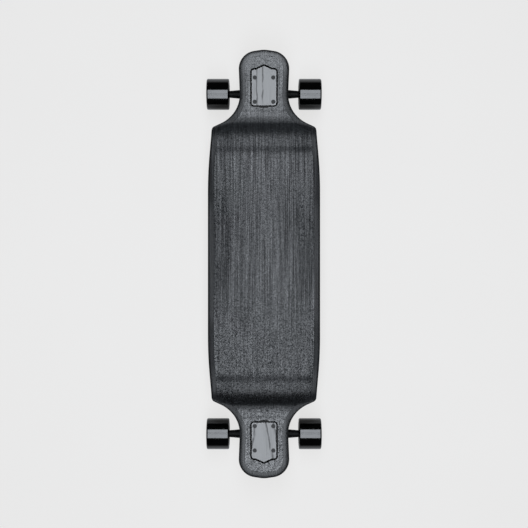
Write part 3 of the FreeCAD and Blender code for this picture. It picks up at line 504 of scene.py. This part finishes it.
def mottle_group():
    """Cloudy wear and fine dust at two sizes, for cast, plated and moulded faces."""
    group, n, given, put_out = new_group(
        "mottle", {"Cloud Scale": 40.0, "Grain Scale": 1800.0}, ["Clouds", "Grain"])
    n.put(put_out["Clouds"], n.noise(given["Place"], given["Cloud Scale"], 4.0))
    n.put(put_out["Grain"], n.noise(given["Place"], given["Grain Scale"], 2.0))
    return group


WOOD_GRAIN, GRIT, MOTTLE = wood_grain_group(), grit_group(), mottle_group()

# Tints of the stain, the glue, the retainer and the floor.
PLAIN = (1.0, 1.0, 1.0)
COOL = (0.93, 0.99, 1.06)
GLUE = (1.1, 1.0, 0.9)
IVORY = (1.0, 0.95, 0.82)
NEUTRAL = (1.0, 0.993, 0.985)

# Places along the board in metres from its middle: where feet stand, the creases and bend of each slope,
# the middle of a plate's recess, and the slope at the tail.
FEET, LOW_CREASE, HIGH_BEND, HIGH_CREASE, RECESS_MIDDLE = 0.185, 0.2575, 0.313, 0.340, 0.394
TAIL_SLOPE = -0.299


def start(name, **constants):
    """A material with a Principled shader, its fixed values set on the shader, and Object coordinates."""
    material = bpy.data.materials.new(name)
    material.use_nodes = True
    n = Nodes(material.node_tree)
    shader = material.node_tree.nodes["Principled BSDF"]
    for label, value in constants.items():
        shader.inputs[label.replace("_", " ")].default_value = value
    place = n.add("ShaderNodeTexCoord").outputs["Object"]
    return material, n, shader, place


def use(n, group, **sockets):
    """The outputs of a group placed with its own values."""
    return n.add("ShaderNodeGroup", {"node_tree": group}, **sockets).outputs


def bump(n, shader, height, strength, distance):
    """Raises a surface by a height."""
    node = n.add("ShaderNodeBump", Strength=strength, Distance=distance, Height=height)
    n.put(shader.inputs["Normal"], node.outputs[0])


def colour(value, tint=PLAIN):
    """A grey of a value, tinted."""
    return (value * tint[0], value * tint[1], value * tint[2], 1.0)


def board_places(n, place):
    """Place along the board with the tail negative, then the distances from the middle along and across."""
    axes = n.axes(place)
    return axes[0], n.math("ABSOLUTE", axes[0]), n.math("ABSOLUTE", axes[1])


def stained_wood():
    """Black stained ply: faint grain under a satin seal, thin glue lines where the depth shows on edges.

    The seal is fresh at the nose, duller down the necks, and most worn on the rails beside the feet. The
    recesses under the plates are painted near black inside, as painted shade.
    """
    material, n, shader, place = start("stained ply", Specular_IOR_Level=0.02, Coat_Roughness=0.25)
    grain = use(n, WOOD_GRAIN, Place=place, Pore_Scale=420.0, Band_Scale=55.0)
    x, along, across = board_places(n, place)
    depth = n.add("ShaderNodeAttribute", {"attribute_name": "depth"}).outputs["Fac"]

    layer = n.math("FRACT", n.math("DIVIDE", depth, PLY_THICKNESS))
    glue = n.near(layer, 0.5, 0.40, 0.47, 0.0, 1.0)
    on_edge = n.times(n.ramp(depth, 2.9, 3.4), n.ramp(depth, 11.6, 12.2, 1.0, 0.0))
    face = n.mix(n.ramp(grain["Pores"], 0.38, 0.66), colour(0.008, COOL), colour(0.017, COOL))
    face = n.mix(n.ramp(grain["Bands"], 0.36, 0.5), face, colour(0.004, COOL))
    edge = n.mix(n.times(glue, on_edge), face, colour(0.045, GLUE))
    # Painted shade: the recess under each plate, with its walls and floor, is painted near black.
    painted_recess_shade = n.times(n.near(along, RECESS_MIDDLE, 0.052, 0.056), n.ramp(across, 0.036, 0.040, 1.0, 0.0))
    walls = n.times(n.ramp(depth, 0.2, 0.6), n.ramp(depth, 11.8, 12.3, 1.0, 0.0))
    n.put(shader.inputs["Base Color"], n.mix(n.times(painted_recess_shade, walls), edge, colour(0.001)))
    n.put(shader.inputs["Roughness"], n.ramp(grain["Pores"], 0.3, 0.7, 0.60, 0.48))

    sealed = n.math("MAXIMUM", n.ramp(depth, 2.0, 3.2, 1.0, 0.0), n.ramp(depth, 12.2, 12.45))
    streaks = n.ramp(grain["Pores"], 0.36, 0.62, 0.52, 0.86)
    ends = n.math("ADD", n.ramp(along, 0.325, 0.36, 0.26, 0.58), n.ramp(x, 0.41, 0.465, 0.0, 0.52))
    seal = n.math("SUBTRACT", ends, n.near(along, FEET, 0.04, 0.07, 0.13, 0.0))
    n.put(shader.inputs["Coat Weight"], n.times(sealed, seal, streaks))
    bump(n, shader, grain["Pores"], 0.10, 0.0002)
    return material


def clear_grit():
    """Clear grit over the stained wood: the grain dulls the gloss in streaks, and each grit does by chance.

    The gloss is worn over the standing platform, most at its bends, and dull lines cross the board where
    the bends begin and end. Pits cluster in patches and along the middle of the rails. The grain shows
    less, and the grit more, on the necks and towards the tail. The tail's slope is painted darker, as
    painted shade.
    """
    material, n, shader, place = start(
        "clear grit", Specular_IOR_Level=0.0, Coat_Roughness=0.25, Coat_IOR=1.6)
    grain = use(n, WOOD_GRAIN, Place=place, Pore_Scale=430.0, Band_Scale=60.0)
    grit = use(n, GRIT, Place=place, Grain_Scale=570.0)
    fine_grit = use(n, GRIT, Place=place, Grain_Scale=1500.0)
    x, along, across = board_places(n, place)
    necks = n.ramp(along, 0.30, 0.335)
    coarse = n.math("MAXIMUM", necks, n.ramp(x, -0.16, -0.04, 1.0, 0.0))
    rails = n.times(n.ramp(across, 0.055, 0.115), n.near(x, 0.05, 0.07, 0.13))
    clouds = n.noise(n.stretched(place, (0.35, 1, 1)), 14.0, 2.0)

    pores = n.ramp(grain["Pores"], 0.38, 0.63)
    wood = n.mix(pores, colour(0.010, COOL), colour(0.021, COOL))
    # Painted shade: the colour is darkened towards near black across the middle of the tail's slope.
    wood = n.mix(n.near(x, TAIL_SLOPE, 0.008, 0.022, 0.78, 0.0), wood, colour(0.002, COOL))
    n.put(shader.inputs["Base Color"], n.mix(fine_grit["Sparkle"], wood, colour(0.07, COOL)))
    n.put(shader.inputs["Roughness"], n.between(fine_grit["Relief"], 0.55, 0.42))

    neck_gloss = n.times(
        necks, n.ramp(along, 0.335, 0.44, 0.92, 1.08), n.ramp(x, -0.1, 0.1, 1.24, 1.0))
    platform_gloss = n.ramp(along, 0.235, 0.255, n.between(coarse, 0.72, 0.68), 0.55)
    stood = n.math("MAXIMUM", platform_gloss, neck_gloss)
    dull_grain = n.between(coarse, n.ramp(across, 0.03, 0.08, 0.36, 0.20), 0.66)
    streak = n.times(n.between(pores, dull_grain, 1.0), n.ramp(grain["Bands"], 0.30, 0.5, 1.0, 0.76))
    dull_grit = n.math("ADD", n.between(coarse, 0.24, 0.02), n.ramp(x, 0.30, 0.335, 0.0, 0.24))
    speck = n.between(grit["Chance"], 1.0, dull_grit)
    patches = n.ramp(n.math("MULTIPLY_ADD", rails, 0.12, clouds), 0.55, 0.70)
    pits = n.times(n.math("SUBTRACT", patches, necks), n.ramp(grit["Chance"], 0.62, 0.70))
    worn = n.times(n.between(pits, 1.0, 0.3), n.between(rails, 1.0, 0.62))
    low_crease = n.near(along, LOW_CREASE, 0.002, 0.010, n.ramp(clouds, 0.38, 0.58, 0.62, 0.30), 1.0)
    high_crease = n.near(along, HIGH_CREASE, 0.001, 0.004, 0.72, 1.0)
    bend_wear = n.near(along, HIGH_BEND, 0.0, 0.014, 0.32, 1.0)
    gloss = n.times(streak, speck, worn, stood, low_crease, high_crease, bend_wear)
    n.put(shader.inputs["Coat Weight"], gloss)
    bump(n, shader, fine_grit["Relief"], 0.45, 0.0002)
    return material


def plate_finish(end, slant, pitch, middle, phase, first, last):
    """Satin grey plate with dark figure lines along its length.

    The distance of a point from a middle line, less a slant times x and bent by noise, is counted in
    pitches from a phase; a line shows at each whole count between a first and a last distance.
    """
    material, n, shader, place = start(f"streaked plate {end}", Specular_IOR_Level=0.5)
    axes = n.axes(n.stretched(place, (1, 1, 1), (-end * TRUCK_X * MM, 0, 0)))
    bend = n.math("SUBTRACT", n.noise(n.stretched(place, (0.6, 1, 1)), 60.0), 0.5)
    from_middle = n.math("ABSOLUTE", n.math("SUBTRACT", axes[1], middle))
    across = n.math("SUBTRACT", from_middle, n.math("MULTIPLY", axes[0], slant))
    count = n.math("ADD", n.math("DIVIDE", across, pitch), n.math("MULTIPLY_ADD", bend, 0.55, phase))
    line = n.math("ABSOLUTE", n.math("SUBTRACT", n.math("FRACT", count), 0.5))
    spread = n.math("MULTIPLY_ADD", n.noise(n.stretched(place, (0.4, 1, 1)), 140.0), 0.12, line)
    shown = n.times(n.ramp(across, first, first * 1.3), n.ramp(across, last, last * 1.3, 1.0, 0.0))
    faded = n.noise(n.stretched(place, (0.5, 1, 1), (0.03, 0.0, 0.0)), 70.0)
    streak = n.times(n.ramp(spread, 0.38, 0.53), shown, n.ramp(faded, 0.36, 0.52, 0.25, 1.0))
    fine = n.noise(n.stretched(place, (0.03, 1, 1)), 800.0)
    smoke = n.noise(n.stretched(place, (0.12, 1, 1)), 130.0)
    field = n.mix(n.ramp(fine, 0.3, 0.7), colour(0.255), colour(0.315))
    field = n.mix(n.ramp(smoke, 0.52, 0.68, 0.0, 0.45), field, colour(0.17))
    n.put(shader.inputs["Base Color"], n.mix(streak, field, colour(0.06)))
    n.put(shader.inputs["Roughness"], n.ramp(fine, 0.3, 0.7, 0.46, 0.54))
    bump(n, shader, fine, 0.08, 0.0001)
    return material


def metal(name, dark, bright, rough):
    """Plated or ground metal: cloudy tone and fine grain in colour, roughness and relief."""
    material, n, shader, place = start(name, Metallic=1.0)
    marks = use(n, MOTTLE, Place=place, Cloud_Scale=60.0, Grain_Scale=2500.0)
    tone = n.mix(n.ramp(marks["Clouds"], 0.35, 0.65), colour(dark), colour(bright))
    n.put(shader.inputs["Base Color"], tone)
    n.put(shader.inputs["Roughness"], n.ramp(marks["Grain"], 0.3, 0.7, rough - 0.06, rough + 0.06))
    bump(n, shader, marks["Grain"], 0.06, 0.0001)
    return material


def coated(name, dark, bright, rough, relief=0.15, tint=PLAIN, **constants):
    """Painted, moulded or cast surface: cloudy tone and a fine pebble."""
    material, n, shader, place = start(name, **constants)
    marks = use(n, MOTTLE, Place=place, Cloud_Scale=45.0, Grain_Scale=1500.0)
    tone = n.mix(n.ramp(marks["Clouds"], 0.35, 0.65), colour(dark, tint), colour(bright, tint))
    n.put(shader.inputs["Base Color"], tone)
    n.put(shader.inputs["Roughness"], n.ramp(marks["Clouds"], 0.3, 0.7, rough - 0.04, rough + 0.04))
    bump(n, shader, marks["Grain"], relief, 0.0002)
    return material


STAINED_WOOD, CLEAR_GRIT = stained_wood(), clear_grit()
PLATES = {
    "front": plate_finish(1, slant=0.0, pitch=0.013, middle=0.0095, phase=0.5, first=0.003, last=0.010),
    "rear": plate_finish(-1, slant=-0.2, pitch=0.017, middle=0.0065, phase=0.0, first=0.010, last=0.036)}
TRUCK_PAINT = coated("black truck paint", 0.003, 0.006, 0.34, Specular_IOR_Level=0.06)
URETHANE = coated("gloss black urethane", 0.0002, 0.0005, 0.10, relief=0.012, Specular_IOR_Level=0.42)
CORE_PLASTIC = coated("moulded core", 0.014, 0.022, 0.38, relief=0.1)
BUSHING = coated("satin urethane", 0.018, 0.026, 0.42, relief=0.08)
SEAL = coated("bearing seal", 0.02, 0.03, 0.5)
RETAINER = coated("moulded retainer", 0.55, 0.62, 0.45, tint=IVORY)
ZINC = metal("zinc plate", 0.50, 0.60, 0.30)
BEARING_STEEL = metal("ground steel", 0.60, 0.68, 0.18)
BLACK_STEEL = coated("black oxide steel", 0.012, 0.022, 0.45, Specular_IOR_Level=0.24)

SLOT_FINISH = {
    "truck_casting": TRUCK_PAINT, "steel": ZINC, "dark_steel": BLACK_STEEL, "bearing_steel": BEARING_STEEL,
    "shield": SEAL, "retainer": RETAINER, "urethane_dark": BUSHING, "core": CORE_PLASTIC}
SLOT_OF = {part["node"]: part["material_slot"] for part in frame["record"]["subparts"]}
BODY_OF = {node: body for body, nodes in frame["record"]["behaviour"]["bodies"].items() for node in nodes}

# Dressing: new or smoothed pieces in the place of their nodes, and finishes on the nodes that stay.
TRUCK_PIECES = (
    "baseplate", "hanger", "kingpin", "kingpin_nut", "board_bushing", "road_bushing", "bushing_washers",
    "pivot_cup", "axle", "axle_nuts", "mounting_bolts", "mounting_nuts")
WHEEL_PIECES = ("core", "bearing_shields", "bearing_outer_rings")
KEPT_NODES = ("balls", "retainers", "speed_rings", "inner_rings", "spacers")


def dress(piece, node, material):
    """Gives a piece its finish and puts it in the place of a node, on that node's body."""
    piece.data.materials.clear()
    piece.data.materials.append(material)
    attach(piece, BODY_OF[node])
    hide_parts(node)


def dress_copy(node):
    """Puts a smoothed copy, in its slot's finish, in the place of a node."""
    dress(smooth_copy(node), node, SLOT_FINISH[SLOT_OF[node]])


dress(board_piece(), "deck", STAINED_WOOD)
dress(grip_piece(), "grip_sheet", CLEAR_GRIT)
for name, end in (("front", 1), ("rear", -1)):
    dress(smooth_copy(f"{name}_cover_plate"), f"{name}_cover_plate", PLATES[name])
    for label in TRUCK_PIECES:
        dress_copy(f"{name}_{label}")
    for hand, side in (("left", 1), ("right", -1)):
        dress(tyre_piece(f"{name}_{hand}_tyre_dressed", end, side), f"{name}_{hand}_tyre", URETHANE)
        for label in WHEEL_PIECES:
            dress_copy(f"{name}_{hand}_{label}")
for node, thing in frame["nodes"].items():
    if node.endswith(KEPT_NODES):
        thing.data.materials.clear()
        thing.data.materials.append(SLOT_FINISH[SLOT_OF[node]])

# Floor, room, lights and camera: sizes in metres; tones, glows, and shares of them seen in mirrors.
FLOOR_DROP = 25.0 * MM
FLOOR_REACH = 9.0
FLOOR_TONES = (0.80, 0.814)
FLOOR_GLOW, FLOOR_GLOW_SHARE, FLOOR_IN_MIRRORS = 1.065, 0.82, 0.4
ROOM_TONE, ROOM_DIM, ROOM_PALE, ROOM_IN_MIRRORS = 0.81, 0.03, 0.94, 0.008
LAMP_TINT = (0.885, 0.935, 1.0)
PANELS = {"tail": (-1.22, -0.14), "middle": (-0.10, 0.20), "nose": (0.24, 1.22)}
PANEL_HEIGHT, PANEL_WIDTH, PANEL_RADIANCE = 2.0, 0.66, 9.0
SIDE_OFFSET, SIDE_HEIGHT, SIDE_TILT = 2.4, 0.9, math.radians(-70)
SIDE_LENGTH, SIDE_WIDTH, SIDE_RADIANCE = 2.6, 1.0, 1.2
CAMERA_RISE, FRAME_HALF = 2.2, 0.5858


def pale_view(n, in_mirrors):
    """One to the camera, and a share of that in mirrors and glass."""
    path = n.add("ShaderNodeLightPath").outputs
    mirrored = n.math("ADD", path["Is Glossy Ray"], path["Is Transmission Ray"])
    return n.math("MULTIPLY_ADD", mirrored, in_mirrors, path["Is Camera Ray"])


def floor_piece():
    """A wide pale floor that glows in part, low enough that a wheel at full lean clears it."""
    mesh = bpy.data.meshes.new("floor")
    corners = [(-1, -1), (1, -1), (1, 1), (-1, 1)]
    mesh.from_pydata(
        [(x * FLOOR_REACH, y * FLOOR_REACH, -FLOOR_DROP) for x, y in corners], [], [(0, 1, 2, 3)])
    floor = bpy.data.objects.new("floor", mesh)
    bpy.context.scene.collection.objects.link(floor)
    material, n, shader, place = start("pale floor", Roughness=0.9, Specular_IOR_Level=0.1)
    tone = n.mix(n.noise(place, 3.0), *[colour(tone, NEUTRAL) for tone in FLOOR_TONES])
    n.put(shader.inputs["Base Color"], tone)
    glow = n.add("ShaderNodeEmission", Color=tone, Strength=FLOOR_GLOW)
    share = n.times(pale_view(n, FLOOR_IN_MIRRORS), FLOOR_GLOW_SHARE)
    blend = n.add("ShaderNodeMixShader")
    for socket, value in zip(blend.inputs, (share, shader.outputs[0], glow.outputs[0])):
        n.put(socket, value)
    n.put(material.node_tree.nodes["Material Output"].inputs["Surface"], blend.outputs[0])
    mesh.materials.append(material)


def softbox(name, place, length, width, radiance, tilt=0.0):
    """A soft rectangle of light facing down, or tilted about X; its power gives the named radiance."""
    light = bpy.data.lights.new(name, "AREA")
    light.shape = "RECTANGLE"
    light.size, light.size_y = length, width
    light.energy = radiance * math.pi * length * width
    light.color = LAMP_TINT
    lamp = bpy.data.objects.new(name, light)
    lamp.location = place
    lamp.rotation_euler = (tilt, 0.0, 0.0)
    lamp.visible_camera = False
    bpy.context.scene.collection.objects.link(lamp)


def dim_room():
    """A dim room that looks pale behind the floor: fully to the camera, slightly in mirrors and glass."""
    world = bpy.data.worlds.new("room")
    bpy.context.scene.world = world
    world.use_nodes = True
    n = Nodes(world.node_tree)
    backdrop = world.node_tree.nodes["Background"]
    backdrop.inputs["Color"].default_value = colour(ROOM_TONE)
    n.put(backdrop.inputs["Strength"], n.between(pale_view(n, ROOM_IN_MIRRORS), ROOM_DIM, ROOM_PALE))


floor_piece()
for label, (low, high) in PANELS.items():
    middle = ((low + high) / 2, 0.0, PANEL_HEIGHT)
    softbox(f"{label}_panel", middle, high - low, PANEL_WIDTH, PANEL_RADIANCE)
for label, side in (("left", 1), ("right", -1)):
    beside = (0.0, side * SIDE_OFFSET, SIDE_HEIGHT)
    softbox(f"{label}_panel", beside, SIDE_LENGTH, SIDE_WIDTH, SIDE_RADIANCE, tilt=side * SIDE_TILT)
dim_room()

camera_data = bpy.data.cameras.new("camera")
camera_data.angle = 2 * math.atan(FRAME_HALF / CAMERA_RISE)
camera = bpy.data.objects.new("camera", camera_data)
camera.location = (0.0, 0.0, NECK_TOP * MM + CAMERA_RISE)
camera.rotation_euler = (0.0, 0.0, -math.pi / 2)
bpy.context.scene.collection.objects.link(camera)
bpy.context.scene.camera = camera
bpy.context.scene.view_settings.view_transform = "Standard"

bpy.context.view_layer.update()
